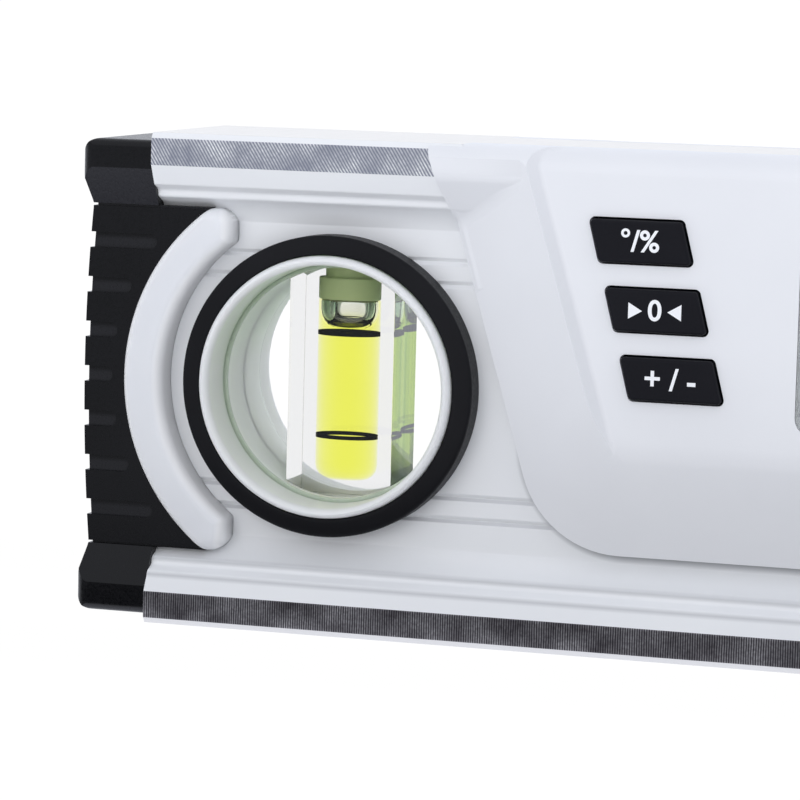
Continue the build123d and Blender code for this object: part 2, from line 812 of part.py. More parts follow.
def make_key(side, x, z):
    """Key cap with a flange behind the panel and a stem towards its switch."""
    front = panel_y - key_proud
    flange_front = panel_inner_y + key_flange_gap
    cap = slab(key_face(side, x, z), front, flange_front)
    cap = fillet(cap.faces().sort_by(Axis.Y)[0].edges(), key_edge_round)
    flange = slab(key_face(side, x, z, key_flange), flange_front, flange_front + key_flange_thickness)
    stem = rod(key_stem_radius, flange_front, key_stem_end(), x, z)
    return cap + flange + stem


def make_chip():
    front = panel_y + board_setback
    return block(chip_side, front - chip_height, front, chip_side, 0, key_row_height)


def make_sensor():
    back = panel_y + board_setback + board_thickness
    return block(sensor_side, back, back + sensor_height, sensor_side, sensor_offset, key_row_height)


def make_buzzer():
    back = panel_y + board_setback + board_thickness
    return rod(buzzer_radius, back, back + buzzer_height, -buzzer_offset, key_row_height)


def battery_places():
    """Direction of the nub, x of the can's middle, y and z of each battery's axis."""
    y = tub_floor_height + tub_floor + battery_gap + battery_radius
    places = []
    for sign in (-1, 1):
        places.append((sign, -sign * battery_nub_height / 2, y, key_row_height + sign * battery_pitch / 2))
    return places


def make_batteries():
    cells = []
    for sign, x, y, z in battery_places():
        can = Pos(x, y, z) * Rot(0, 90, 0) * Cylinder(battery_radius, battery_length)
        nub_x = x + sign * (battery_length + battery_nub_height) / 2
        nub = Pos(nub_x, y, z) * Rot(0, 90, 0) * Cylinder(battery_nub_radius, battery_nub_height)
        cells.append(can + nub)
    return cells


def make_contacts():
    """One bridging plate at the left end and two single plates at the right end."""
    x = tub_half_length() - contact_gap - contact_thickness / 2
    sign, middle, y, z = battery_places()[0]
    bridge = Box(contact_thickness, contact_side, battery_pitch + contact_side)
    plates = [Pos(-x, y, key_row_height) * bridge]
    for sign, middle, y, z in battery_places():
        plates.append(Pos(x, y, z) * Box(contact_thickness, contact_side, contact_side))
    return plates


def make_door():
    """Battery door with finger ribs across its upper part."""
    outer = -panel_y
    door = slab(door_face(0), outer - door_thickness, outer)
    for index in range(door_rib_count):
        z = key_row_height + (index - (door_rib_count - 1) / 2) * door_rib_pitch
        rib = Pos(0, z) * SlotOverall(door_rib_length, door_rib_width)
        door += slab(rib, outer, outer + door_rib_proud)
    return door


def write(name, shape):
    export_step(shape, f"parts/{name}.step")


def main():
    os.makedirs("parts", exist_ok=True)
    beam = make_beam()
    write("beam_extrusion", beam)
    end_plug = make_end_plug()
    boot = make_boot()
    bezel = make_bezel()
    holder = make_holder()
    for name, side, turn in (("left", -1, 0), ("right", 1, 90)):
        write(f"{name}_end_plug", end_plug if side < 0 else mirror(end_plug, about=Plane.YZ))
        write(f"{name}_end_boot", boot if side < 0 else mirror(boot, about=Plane.YZ))
        ring = Pos(side * ring_x, 0, half_height)
        vial = ring * Rot(0, turn, 0)
        write(f"{name}_front_bezel", ring * bezel)
        write(f"{name}_rear_bezel", ring * mirror(bezel, about=Plane.XZ))
        write(f"{name}_front_vial_holder", vial * holder)
        write(f"{name}_rear_vial_holder", vial * mirror(holder, about=Plane.XZ))
        write(f"{name}_vial_block", vial * make_block())
        write(f"{name}_vial_liquid", vial * make_liquid(level=turn > 0))
        write(f"{name}_vial_plug", vial * make_vial_plug())
        write(f"{name}_vial_lines", Compound(children=[vial * ring_line for ring_line in make_lines()]))
    write("front_housing", make_front_housing(beam))
    write("rear_housing", make_rear_housing(beam))
    write("display_window", make_window())
    write("display_glass", make_lcd())
    write("display_carrier", make_carrier())
    write("main_board", make_board())
    write("key_switches", Compound(children=make_switches()))
    row_names = ("upper", "middle", "lower")
    for side, row, x, z in key_places():
        column = "left" if side < 0 else "right"
        write(f"{column}_{row_names[row]}_key", make_key(side, x, z))
    write("processor_chip", make_chip())
    write("tilt_sensor", make_sensor())
    write("buzzer", make_buzzer())
    write("batteries", Compound(children=make_batteries()))
    write("battery_contacts", Compound(children=make_contacts()))
    write("battery_door", make_door())
    write("housing_screws", Compound(children=make_screws()))


main()
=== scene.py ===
import json
from math import pi, radians

import bpy
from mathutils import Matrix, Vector

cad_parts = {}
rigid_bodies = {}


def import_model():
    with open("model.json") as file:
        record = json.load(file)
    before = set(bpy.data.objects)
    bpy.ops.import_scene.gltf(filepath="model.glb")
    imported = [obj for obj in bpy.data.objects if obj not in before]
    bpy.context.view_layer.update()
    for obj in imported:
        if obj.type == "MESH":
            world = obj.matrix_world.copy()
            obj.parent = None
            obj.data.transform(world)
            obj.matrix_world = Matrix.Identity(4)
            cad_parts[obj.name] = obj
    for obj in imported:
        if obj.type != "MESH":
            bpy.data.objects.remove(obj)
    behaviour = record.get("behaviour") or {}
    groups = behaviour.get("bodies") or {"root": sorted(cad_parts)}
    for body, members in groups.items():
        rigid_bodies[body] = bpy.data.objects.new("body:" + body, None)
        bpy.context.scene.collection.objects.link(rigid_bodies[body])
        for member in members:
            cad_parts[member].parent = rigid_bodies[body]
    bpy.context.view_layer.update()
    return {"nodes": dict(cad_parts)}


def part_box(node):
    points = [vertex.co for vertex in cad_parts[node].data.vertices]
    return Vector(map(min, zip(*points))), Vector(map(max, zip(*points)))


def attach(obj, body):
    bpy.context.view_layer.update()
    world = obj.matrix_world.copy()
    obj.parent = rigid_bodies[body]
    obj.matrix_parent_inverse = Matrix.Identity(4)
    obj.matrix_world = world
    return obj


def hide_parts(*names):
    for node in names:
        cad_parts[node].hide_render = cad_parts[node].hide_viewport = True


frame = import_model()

MM = 0.001
ORIGIN = (0, 0, 0)
SIDES = ("left", "right")
HALVES = (("front", -1), ("rear", 1))
PRINT = 0.04 * MM  # thickness of printed signs
MERGE = 0.002 * MM  # points nearer than this become one
scene = bpy.context.scene


# Camera, floor and light

def set_camera():
    """Long lens a little to the right of the left window and just above the beam."""
    data = bpy.data.cameras.new("photo_camera")
    data.lens = 166.02
    data.sensor_width = 36.0
    data.clip_start = 0.02
    data.clip_end = 200.0
    camera = bpy.data.objects.new("photo_camera", data)
    camera.location = (0.052667, -0.431530, 0.079176)
    camera.rotation_euler = (radians(83.478), radians(-1.469), radians(16.795))
    scene.collection.objects.link(camera)
    scene.camera = camera


def set_floor():
    """Large sheet of white paper, lit from behind so that it stays white up to the object."""
    bpy.ops.mesh.primitive_plane_add(size=80.0, location=ORIGIN)
    floor = bpy.context.object
    floor.name = "studio_floor"
    floor.visible_diffuse = False
    floor.visible_glossy = False
    mat, tree, shader = new_finish("floor_paper", specular=0.0)
    shader.inputs["Roughness"].default_value = 0.9
    tone = tone_noise(tree, 3.0, (0.03, 0.03, 0.03), (0.04, 0.04, 0.04))
    tree.links.new(tone, shader.inputs["Base Color"])
    shader.inputs["Emission Color"].default_value = (1.0, 1.0, 1.0, 1.0)
    shader.inputs["Emission Strength"].default_value = 1.0
    floor.data.materials.append(mat)


def set_mat():
    """Dark strips before and behind the object, unseen by the camera: they shade its lower half."""
    length, width, from_middle = 0.5, 0.025, 0.030
    felt = moulded("mat_felt", (0.03, 0.03, 0.032), (0.05, 0.05, 0.052),
                   rough=0.9, grain=900.0, depth=0.1, specular=0.0)
    for sign in (-1, 1):
        bpy.ops.mesh.primitive_plane_add(size=1.0, location=ORIGIN)
        strip = bpy.context.object
        strip.name = "studio_mat"
        edit_all(strip)
        bpy.ops.transform.resize(value=(length, width, 1.0))
        bpy.ops.transform.translate(value=(0, sign * from_middle, 0))
        end_edit()
        strip.visible_camera = False
        strip.visible_transmission = False
        strip.data.materials.append(felt)


def set_light():
    """Bright paper below and behind, white air above, a darker room in front, one large lamp."""
    world = bpy.data.worlds.new("studio_air")
    scene.world = world
    world.use_nodes = True
    tree = world.node_tree
    air = tree.nodes["Background"]
    air.inputs["Color"].default_value = (0.895, 0.925, 1.0, 1.0)
    axes = apart(tree, add_node(tree, "ShaderNodeTexCoord").outputs["Generated"])
    above = spread(tree, axes["Z"], 0.5, 0.97, start=0.0, end=0.36)
    below = spread(tree, axes["Z"], 1.2, 0.5, start=-0.5, end=-0.12)
    behind = spread(tree, axes["Y"], 0.0, 1.15, start=-0.5, end=0.3)
    brightest = calc(tree, "MAXIMUM", calc(tree, "MAXIMUM", above, below), behind)
    tree.links.new(brightest, air.inputs["Strength"])
    sun = bpy.data.lights.new("large_softbox", "SUN")
    sun.energy = 0.91
    sun.color = (1.0, 0.985, 0.965)
    sun.angle = radians(60)
    lamp = bpy.data.objects.new("large_softbox", sun)
    lamp.rotation_euler = (radians(87), 0, radians(-6))
    lamp.visible_glossy = False
    scene.collection.objects.link(lamp)
    scene.view_settings.view_transform = "Standard"


# Shader helpers

def add_node(tree, kind, values=None, **settings):
    """New shader node with its settings and the values of its sockets."""
    made = tree.nodes.new(kind)
    for key, value in settings.items():
        setattr(made, key, value)
    for key, value in (values or {}).items():
        made.inputs[key].default_value = value
    return made


def place(tree, stretch=(1, 1, 1), tilt=(0, 0, 0)):
    """Object coordinates, stretched and turned."""
    coords = add_node(tree, "ShaderNodeTexCoord")
    mapping = add_node(tree, "ShaderNodeMapping", {"Scale": stretch, "Rotation": tilt})
    tree.links.new(coords.outputs["Object"], mapping.inputs["Vector"])
    return mapping.outputs["Vector"]


def apart(tree, vector):
    """The X, Y and Z of a vector."""
    axes = add_node(tree, "ShaderNodeSeparateXYZ")
    tree.links.new(vector, axes.inputs["Vector"])
    return axes.outputs


def facing(tree):
    """The X, Y and Z of the direction that a face looks in."""
    return apart(tree, add_node(tree, "ShaderNodeNewGeometry").outputs["Normal"])


def noise(tree, scale, detail=2.0, stretch=(1, 1, 1)):
    texture = add_node(tree, "ShaderNodeTexNoise", {"Scale": scale, "Detail": detail})
    tree.links.new(place(tree, stretch), texture.inputs["Vector"])
    return texture.outputs["Fac"]


def spread(tree, value, low, high, start=0.3, end=0.7):
    """Value that goes from low to high while another goes from start to end."""
    ends = {"From Min": start, "From Max": end, "To Min": low, "To Max": high}
    made = add_node(tree, "ShaderNodeMapRange", ends)
    tree.links.new(value, made.inputs["Value"])
    return made.outputs["Result"]


def calc(tree, kind, first, second=0.0):
    """Sum, product or the like of two values, which are numbers or sockets."""
    made = add_node(tree, "ShaderNodeMath", operation=kind)
    for index, value in enumerate((first, second)):
        if isinstance(value, (int, float)):
            made.inputs[index].default_value = value
        else:
            tree.links.new(value, made.inputs[index])
    return made.outputs["Value"]


def away(tree, value, level):
    """How far a value is from a level, on either side."""
    return calc(tree, "ABSOLUTE", calc(tree, "SUBTRACT", value, level))


def blend_value(tree, share, first, second):
    """Value between two others."""
    rest = calc(tree, "SUBTRACT", 1.0, share)
    from_first = calc(tree, "MULTIPLY", rest, first)
    return calc(tree, "ADD", from_first, calc(tree, "MULTIPLY", share, second))


def blend_colour(tree, share, first, second):
    """Colour between two others, which are colours or sockets."""
    made = add_node(tree, "ShaderNodeMix", data_type="RGBA")
    for name, value in (("A", first), ("B", second)):
        socket = [s for s in made.inputs if s.name == name and s.type == "RGBA"][0]
        if isinstance(value, tuple):
            socket.default_value = (*value, 1.0)
        else:
            tree.links.new(value, socket)
    factor = [s for s in made.inputs if s.name == "Factor" and s.type == "VALUE"][0]
    tree.links.new(share, factor)
    return [s for s in made.outputs if s.type == "RGBA"][0]


def tone_noise(tree, scale, dark, light, stretch=(1, 1, 1)):
    """Cloudy colour between a dark and a light tone."""
    clouds = noise(tree, scale, detail=3.0, stretch=stretch)
    return blend_colour(tree, spread(tree, clouds, 0, 1), dark, light)


def bump(tree, shader, height, strength, depth):
    made = add_node(tree, "ShaderNodeBump", {"Strength": strength, "Distance": depth})
    tree.links.new(height, made.inputs["Height"])
    tree.links.new(made.outputs["Normal"], shader.inputs["Normal"])


def new_finish(name, specular=0.5):
    mat = bpy.data.materials.new(name)
    mat.use_nodes = True
    shader = mat.node_tree.nodes["Principled BSDF"]
    shader.inputs["Specular IOR Level"].default_value = specular
    return mat, mat.node_tree, shader


def moulded(name, dark, light, rough, grain, depth, specular=0.5):
    """Plastic or rubber: soft changes of tone and a fine grain, with its depth in mm."""
    mat, tree, shader = new_finish(name, specular=specular)
    tree.links.new(tone_noise(tree, 70.0, dark, light), shader.inputs["Base Color"])
    fine = noise(tree, grain)
    tree.links.new(spread(tree, fine, rough - 0.06, rough + 0.06), shader.inputs["Roughness"])
    bump(tree, shader, fine, strength=0.35, depth=depth * MM)
    return mat


def base_of(mat):
    """Nodes and shader of a moulded finish, and the tone that it has so far."""
    shader = mat.node_tree.nodes["Principled BSDF"]
    return mat.node_tree, shader, shader.inputs["Base Color"].links[0].from_socket


def milky(mat, reach):
    """Lets light spread inside a pale plastic."""
    shader = mat.node_tree.nodes["Principled BSDF"]
    shader.inputs["Subsurface Weight"].default_value = 1.0
    shader.inputs["Subsurface Radius"].default_value = (1.0, 1.0, 1.0)
    shader.inputs["Subsurface Scale"].default_value = reach
    return mat


# Finishes of the beam and its ends

def beam_finish():
    """Satin white paint with painted shade in its hollows and on its lowest lip, and bare milled
    strips along the edges and on the measuring faces, the upper strips painted bright and the lower
    ones dark as a painted reflection.
    """
    middle, strip_from, face_from, lip_top = 30 * MM, 13.44 * MM, 29.97 * MM, 0.9 * MM
    mat, tree, shader = new_finish("painted_beam")
    axes = apart(tree, place(tree))
    strip = calc(tree, "GREATER_THAN", calc(tree, "ABSOLUTE", axes["Y"]), strip_from)
    high = calc(tree, "GREATER_THAN", axes["Z"], middle)
    measuring_face = calc(tree, "GREATER_THAN", away(tree, axes["Z"], middle), face_from)
    # Painted reflection: the same bare metal is painted up to white on the upper strips and nearly
    # black on the lower ones.
    hatch_painted_bright, hatch = milled(tree, lean=32, scale=900.0,
                               dark=(0.21, 0.225, 0.29), light=(1.0, 1.0, 1.0))
    lines_painted_dark, lines = milled(tree, lean=0, scale=1083.0,
                               dark=(0.012, 0.008, 0.013), light=(0.42, 0.41, 0.43))
    strip_painted_reflection = blend_colour(tree, high, lines_painted_dark, hatch_painted_bright)
    face_tone = tone_noise(tree, 1.0, (0.85, 0.83, 0.79), (0.90, 0.875, 0.835),
                           stretch=(2500, 60, 1))
    bare = blend_colour(tree, measuring_face, strip_painted_reflection, face_tone)
    any_bare = calc(tree, "MAXIMUM", strip, measuring_face)
    paint_tone = tone_noise(tree, 55.0, (0.855, 0.865, 0.88), (0.885, 0.895, 0.905))
    # Painted shade: the beam's lowest lip is painted a darker grey.
    lower_lip = calc(tree, "LESS_THAN", axes["Z"], lip_top)
    lip_shaded_paint = blend_colour(tree, lower_lip, paint_tone, (0.70, 0.69, 0.695))
    # Painted shade: a dark grey in the web's grooves, along the lower flange's steps and under the
    # housing's edge.
    paint = blend_colour(tree, painted_shade(tree, axes), lip_shaded_paint, (0.12, 0.125, 0.145))
    tree.links.new(blend_colour(tree, any_bare, paint, bare), shader.inputs["Base Color"])
    tree.links.new(calc(tree, "MULTIPLY", strip, 0.6), shader.inputs["Metallic"])
    peel = noise(tree, 1500.0)
    rougher = calc(tree, "MULTIPLY", strip, 0.05)
    rough = calc(tree, "ADD", spread(tree, peel, 0.40, 0.50), rougher)
    tree.links.new(rough, shader.inputs["Roughness"])
    marks = calc(tree, "MULTIPLY", blend_value(tree, high, lines, hatch), strip)
    height = calc(tree, "ADD", calc(tree, "MULTIPLY", peel, 0.3), marks)
    bump(tree, shader, height, strength=0.4, depth=0.02 * MM)
    return mat


def painted_shade(tree, axes):
    """Share of painted shade: on faces that look up in the lower web's grooves, in lines along the
    lower flange's steps and as a painted shadow round the housing.
    """
    web_middle, web_half = 20 * MM, 8 * MM
    upper_step, lower_step, step_half = 7.7 * MM, 5.93 * MM, 0.44 * MM
    ledges = spread(tree, facing(tree)["Z"], 0.0, 0.4, start=0.35, end=0.8)
    web = calc(tree, "LESS_THAN", away(tree, axes["Z"], web_middle), web_half)
    share = calc(tree, "MULTIPLY", ledges, web)
    for step in (upper_step, lower_step):
        line = spread(tree, away(tree, axes["Z"], step), 0.34, 0.0, start=0.0, end=step_half)
        share = calc(tree, "MAXIMUM", share, line)
    return calc(tree, "MAXIMUM", share, seam_painted_shadow(tree, axes))


def seam_painted_shadow(tree, axes):
    """Share of painted shadow on the beam along the housing's lower edge and round its lower
    corners.
    """
    corner_x, corner_z, corner_radius = 45.78 * MM, 24.2 * MM, 12.4 * MM
    under, reach = -0.5 * MM, 1.25 * MM
    out = calc(tree, "SUBTRACT", calc(tree, "ABSOLUTE", axes["X"]), corner_x)
    down = calc(tree, "SUBTRACT", corner_z, axes["Z"])
    out = calc(tree, "POWER", calc(tree, "MAXIMUM", out, 0.0), 2.0)
    down = calc(tree, "POWER", calc(tree, "MAXIMUM", down, 0.0), 2.0)
    from_corner = calc(tree, "SQRT", calc(tree, "ADD", out, down))
    from_edge = calc(tree, "SUBTRACT", from_corner, corner_radius)
    outside = calc(tree, "GREATER_THAN", from_edge, under)
    share = spread(tree, from_edge, 0.85, 0.0, start=0.0, end=reach)
    return calc(tree, "MULTIPLY", share, outside)


def milled(tree, lean, scale, dark, light):
    """Cutter marks of a milled strip: leaning lines, stronger and weaker in patches."""
    wander = {"Scale": scale, "Distortion": 1.4, "Detail": 2.0, "Detail Scale": 0.4}
    wave = add_node(tree, "ShaderNodeTexWave", wander)
    tree.links.new(place(tree, tilt=(0, radians(lean), 0)), wave.inputs["Vector"])
    patches = spread(tree, noise(tree, 260.0, detail=3.0), 0.25, 1.0)
    fleck = spread(tree, noise(tree, 2600.0), 0.6, 1.15)
    marks = calc(tree, "MULTIPLY", calc(tree, "MULTIPLY", wave.outputs["Fac"], patches), fleck)
    return blend_colour(tree, marks, dark, light), marks


def boot_rubber():
    """Black rubber, painted greyer on faces that lean down as a painted sheen, and lighter on the
    floors of the grip grooves.
    """
    mat = moulded("boot_rubber", (0.0012, 0.0012, 0.0021), (0.0030, 0.0030, 0.0043),
                  rough=0.3, grain=2600.0, depth=0.05, specular=0.28)
    tree, shader, black = base_of(mat)
    # Painted sheen: faces that lean down are painted greyer.
    leaning = spread(tree, facing(tree)["Z"], 1, 0, start=-0.45, end=-0.12)
    sloped = blend_colour(tree, leaning, black, (0.021, 0.021, 0.0255))
    # Groove floors painted lighter, with a painted shadow left dark below their upper edges.
    grooved_tone = blend_colour(tree, groove_floors(tree), sloped, (0.012, 0.012, 0.0145))
    tree.links.new(grooved_tone, shader.inputs["Base Color"])
    return mat


def groove_floors(tree):
    """One on the floors of the boots' grip grooves, up to a line below their upper edges; above
    that line the floor stays dark as a painted shadow under the edge.
    """
    floor_y, floor_half, pitch, shift = 10.08 * MM, 0.12 * MM, 5.5 * MM, 0.25 * MM
    line_low, line_high = 2.9 * MM, 3.4 * MM
    axes = apart(tree, place(tree))
    depth = away(tree, calc(tree, "ABSOLUTE", axes["Y"]), floor_y)
    floor = calc(tree, "LESS_THAN", depth, floor_half)
    rise = calc(tree, "MODULO", calc(tree, "ADD", axes["Z"], shift), pitch)
    below_line = spread(tree, rise, 1, 0, start=line_low, end=line_high)
    return calc(tree, "MULTIPLY", floor, below_line)


def plug_plastic():
    """White moulding, painted lighter on the flanks of the arcs as painted light."""
    mat = moulded("white_moulding", (0.80, 0.81, 0.835), (0.83, 0.84, 0.86),
                  rough=0.42, grain=1800.0, depth=0.015)
    tree, shader, white = base_of(mat)
    # Painted light: faces that look sideways, the flanks of the arcs, are painted a lighter white.
    flank = spread(tree, calc(tree, "ABSOLUTE", facing(tree)["X"]), 0, 1, start=0.2, end=0.6)
    flank_lit_tone = blend_colour(tree, flank, white, (0.97, 0.975, 0.985))
    tree.links.new(flank_lit_tone, shader.inputs["Base Color"])
    return milky(mat, reach=1.6 * MM)


# Finishes of the round windows

def bezel_plastic():
    return moulded("black_bezel", (0.006, 0.006, 0.0075), (0.009, 0.009, 0.011),
                   rough=0.45, grain=3200.0, depth=0.02, specular=0.14)


def holder_plastic():
    """White moulding, its bore tinted with painted green light from the vial, stronger and darker
    towards the top, and a painted shadow line at the step.
    """
    step_y, rim_low, rim_high = 6.2 * MM, 10.8 * MM, 11.8 * MM
    # The base tone is a green-white, painted green light from the vial; the rim is made white
    # below.
    mat = moulded("holder_plastic", (0.915, 0.972, 0.88), (0.935, 0.985, 0.905),
                  rough=0.42, grain=1400.0, depth=0.015)
    tree, shader, inside = base_of(mat)
    axes = apart(tree, place(tree))
    # Painted green light and shade: the bore turns a darker green towards the top.
    above = spread(tree, axes["Z"], 0, 1, start=31 * MM, end=43 * MM)
    bore = blend_colour(tree, above, inside, (0.68, 0.79, 0.62))
    across = calc(tree, "ABSOLUTE", axes["Y"])
    # Painted shadow: a dark line at the step in the bore.
    step = spread(tree, away(tree, across, step_y), 0.75, 0, start=0.1 * MM, end=0.45 * MM)
    step_shaded = blend_colour(tree, step, bore, (0.36, 0.43, 0.33))
    rim = spread(tree, across, 0, 1, start=rim_low, end=rim_high)
    tone = blend_colour(tree, rim, step_shaded, (0.90, 0.908, 0.925))
    tree.links.new(tone, shader.inputs["Base Color"])
    return milky(mat, reach=2.0 * MM)


def clear_finish(name, tone, rough):
    """Clear acrylic with a faint haze."""
    mat, tree, shader = new_finish(name)
    shader.inputs["Base Color"].default_value = (*tone, 1.0)
    shader.inputs["Transmission Weight"].default_value = 1.0
    shader.inputs["IOR"].default_value = 1.49
    haze = noise(tree, 900.0)
    tree.links.new(spread(tree, haze, rough, rough + 0.02), shader.inputs["Roughness"])
    return mat, tree, shader


def acrylic():
    """Clear cast acrylic; its side faces across X are tinted a darker green in streaks, a painted
    reflection and shade of what shows through them.
    """
    cast = (0.85, 0.852, 0.857)
    mat, tree, shader = clear_finish("clear_acrylic", cast, rough=0.0)
    # Painted reflection and shade: the side faces across X get a darker green streaked tint.
    side_faces = calc(tree, "GREATER_THAN", calc(tree, "ABSOLUTE", facing(tree)["X"]), 0.9)
    painted_streaks = tone_noise(tree, 1.0, (0.16, 0.32, 0.22), (0.50, 0.62, 0.52), stretch=(1, 700, 1))
    tree.links.new(blend_colour(tree, side_faces, cast, painted_streaks), shader.inputs["Base Color"])
    return mat


def vial_liquid():
    """Clear yellow-green liquid, matched to the acrylic round it: only its depth gives colour."""
    mat, tree, shader = new_finish("vial_liquid", specular=0.0)
    shader.inputs["Transmission Weight"].default_value = 1.0
    shader.inputs["IOR"].default_value = 1.0
    tone = tone_noise(tree, 90.0, (0.985, 0.99, 0.97), (1.0, 1.0, 0.99))
    tree.links.new(tone, shader.inputs["Base Color"])
    shader.inputs["Roughness"].default_value = 0.0
    dye = {"Color": (0.992, 1.0, 0.222, 1.0), "Density": 337.0}
    depth = add_node(tree, "ShaderNodeVolumeAbsorption", dye)
    tree.links.new(depth.outputs["Volume"], tree.nodes["Material Output"].inputs["Volume"])
    return mat


def frosted_plug():
    mat = moulded("frosted_plug", (0.78, 0.95, 0.43), (0.84, 0.98, 0.49),
                  rough=0.55, grain=1600.0, depth=0.03)
    shader = mat.node_tree.nodes["Principled BSDF"]
    shader.inputs["Transmission Weight"].default_value = 0.12
    return mat


def dark_line():
    return moulded("dark_line", (0.002, 0.004, 0.001), (0.004, 0.007, 0.002),
                   rough=0.6, grain=4000.0, depth=0.005, specular=0.0)


# Finishes of the housing, the keys and what is inside

def housing_plastic():
    return moulded("housing_plastic", (0.81, 0.818, 0.842), (0.835, 0.843, 0.865),
                   rough=0.45, grain=2200.0, depth=0.02, specular=0.4)


def key_rubber():
    return moulded("key_rubber", (0.006, 0.006, 0.009), (0.009, 0.009, 0.0125),
                   rough=0.55, grain=3000.0, depth=0.03, specular=0.14)


def key_print():
    return moulded("key_print", (0.90, 0.91, 0.93), (0.94, 0.95, 0.96),
                   rough=0.5, grain=4000.0, depth=0.01)


def display_ink():
    return moulded("display_ink", (0.018, 0.021, 0.020), (0.026, 0.029, 0.027),
                   rough=0.4, grain=3000.0, depth=0.005, specular=0.3)


def lens_print():
    return moulded("lens_print", (0.010, 0.010, 0.011), (0.016, 0.016, 0.017),
                   rough=0.35, grain=2500.0, depth=0.005, specular=0.4)


def lens_plastic():
    return clear_finish("window_lens", (0.93, 0.95, 0.95), rough=0.01)[0]


def display_glass():
    """Grey-green display with a faint grid of its electrodes."""
    mat, tree, shader = new_finish("display_glass", specular=0.4)
    grid = noise(tree, 1.0, detail=1.0, stretch=(1600, 1, 60))
    tone = blend_colour(tree, spread(tree, grid, 0, 1), (0.30, 0.335, 0.27), (0.325, 0.36, 0.29))
    tree.links.new(tone, shader.inputs["Base Color"])
    tree.links.new(spread(tree, grid, 0.20, 0.26), shader.inputs["Roughness"])
    return mat


def carrier_plastic():
    return moulded("carrier_plastic", (0.028, 0.029, 0.031), (0.042, 0.043, 0.045),
                   rough=0.5, grain=1800.0, depth=0.02, specular=0.35)


def component_plastic():
    return moulded("black_component", (0.012, 0.012, 0.013), (0.022, 0.022, 0.023),
                   rough=0.55, grain=3200.0, depth=0.02, specular=0.35)


def circuit_board():
    """Green solder mask over copper lines, with bare pads."""
    mat, tree, shader = new_finish("circuit_board")
    lanes = add_node(tree, "ShaderNodeTexBrick", {
        "Scale": 190.0,
        "Mortar Size": 0.05,
        "Mortar Smooth": 0.3,
        "Color1": (0.008, 0.075, 0.032, 1.0),
        "Color2": (0.010, 0.085, 0.038, 1.0),
        "Mortar": (0.022, 0.145, 0.06, 1.0),
    })
    tree.links.new(place(tree, tilt=(radians(90), 0, 0)), lanes.inputs["Vector"])
    cells = add_node(tree, "ShaderNodeTexVoronoi", {"Scale": 240.0})
    tree.links.new(place(tree), cells.inputs["Vector"])
    pads = calc(tree, "LESS_THAN", cells.outputs["Distance"], 0.17)
    tone = blend_colour(tree, pads, lanes.outputs["Color"], (0.62, 0.60, 0.55))
    tree.links.new(tone, shader.inputs["Base Color"])
    tree.links.new(calc(tree, "MULTIPLY", pads, 0.9), shader.inputs["Metallic"])
    tree.links.new(spread(tree, noise(tree, 900.0), 0.28, 0.4), shader.inputs["Roughness"])
    return mat


def battery_wrap():
    """Printed wrap with a bright band at each end of the can."""
    can_end, band_start = 20.6 * MM, 12.0 * MM
    mat, tree, shader = new_finish("battery_can")
    along = calc(tree, "ABSOLUTE", apart(tree, place(tree))["X"])
    ends = calc(tree, "GREATER_THAN", along, can_end)
    band = calc(tree, "GREATER_THAN", along, band_start)
    wrap = blend_colour(tree, band, (0.018, 0.019, 0.022), (0.52, 0.30, 0.055))
    scuffs = spread(tree, noise(tree, 500.0), 0, 0.25)
    worn = blend_colour(tree, scuffs, wrap, (0.35, 0.33, 0.30))
    tone = blend_colour(tree, ends, worn, (0.60, 0.60, 0.58))
    tree.links.new(tone, shader.inputs["Base Color"])
    tree.links.new(calc(tree, "MULTIPLY", ends, 0.95), shader.inputs["Metallic"])
    tree.links.new(spread(tree, noise(tree, 1400.0), 0.24, 0.36), shader.inputs["Roughness"])
    return mat


def bright_steel():
    """Steel with fine scratches."""
    mat, tree, shader = new_finish("bright_steel")
    tone = tone_noise(tree, 1.0, (0.48, 0.47, 0.45), (0.62, 0.61, 0.59), stretch=(400, 400, 3000))
    tree.links.new(tone, shader.inputs["Base Color"])
    shader.inputs["Metallic"].default_value = 1.0
    scratches = noise(tree, 1.0, detail=3.0, stretch=(300, 300, 5000))
    tree.links.new(spread(tree, scratches, 0.22, 0.36), shader.inputs["Roughness"])
    return mat


# Modelling helpers

def clear():
    """Back to object mode with nothing selected."""
    if bpy.context.object and bpy.context.object.mode != "OBJECT":
        bpy.ops.object.mode_set(mode="OBJECT")
    bpy.ops.object.select_all(action="DESELECT")


def pick(piece):
    """Only this piece selected, and active."""
    clear()
    piece.select_set(True)
    bpy.context.view_layer.objects.active = piece


def start_edit(piece, mode="VERT"):
    pick(piece)
    bpy.ops.object.mode_set(mode="EDIT")
    bpy.ops.mesh.select_mode(type=mode)


def select_all():
    bpy.ops.mesh.select_all(action="SELECT")


def edit_all(piece, mode="VERT"):
    """Edit mode with the whole mesh selected."""
    start_edit(piece, mode)
    select_all()


def end_edit():
    bpy.ops.object.mode_set(mode="OBJECT")


def put(piece, spot):
    """Move a finished piece's mesh to its place."""
    edit_all(piece)
    bpy.ops.transform.translate(value=spot)
    end_edit()


def turn(degrees, axis, centre=ORIGIN):
    """Turn what is selected in edit mode."""
    bpy.ops.transform.rotate(value=radians(degrees), orient_axis=axis, center_override=centre)


def thicken(depth):
    """Flat shape in edit mode made a closed one that reaches back by its depth."""
    bpy.ops.mesh.extrude_region_move(TRANSFORM_OT_translate={"value": (0, depth, 0)})
    select_all()
    bpy.ops.mesh.normals_make_consistent(inside=False)


def apply(piece, kind, **settings):
    """Modifier with its settings, applied."""
    pick(piece)
    made = piece.modifiers.new(kind.lower(), kind)
    for key, value in settings.items():
        setattr(made, key, value)
    bpy.ops.object.modifier_apply(modifier=made.name)


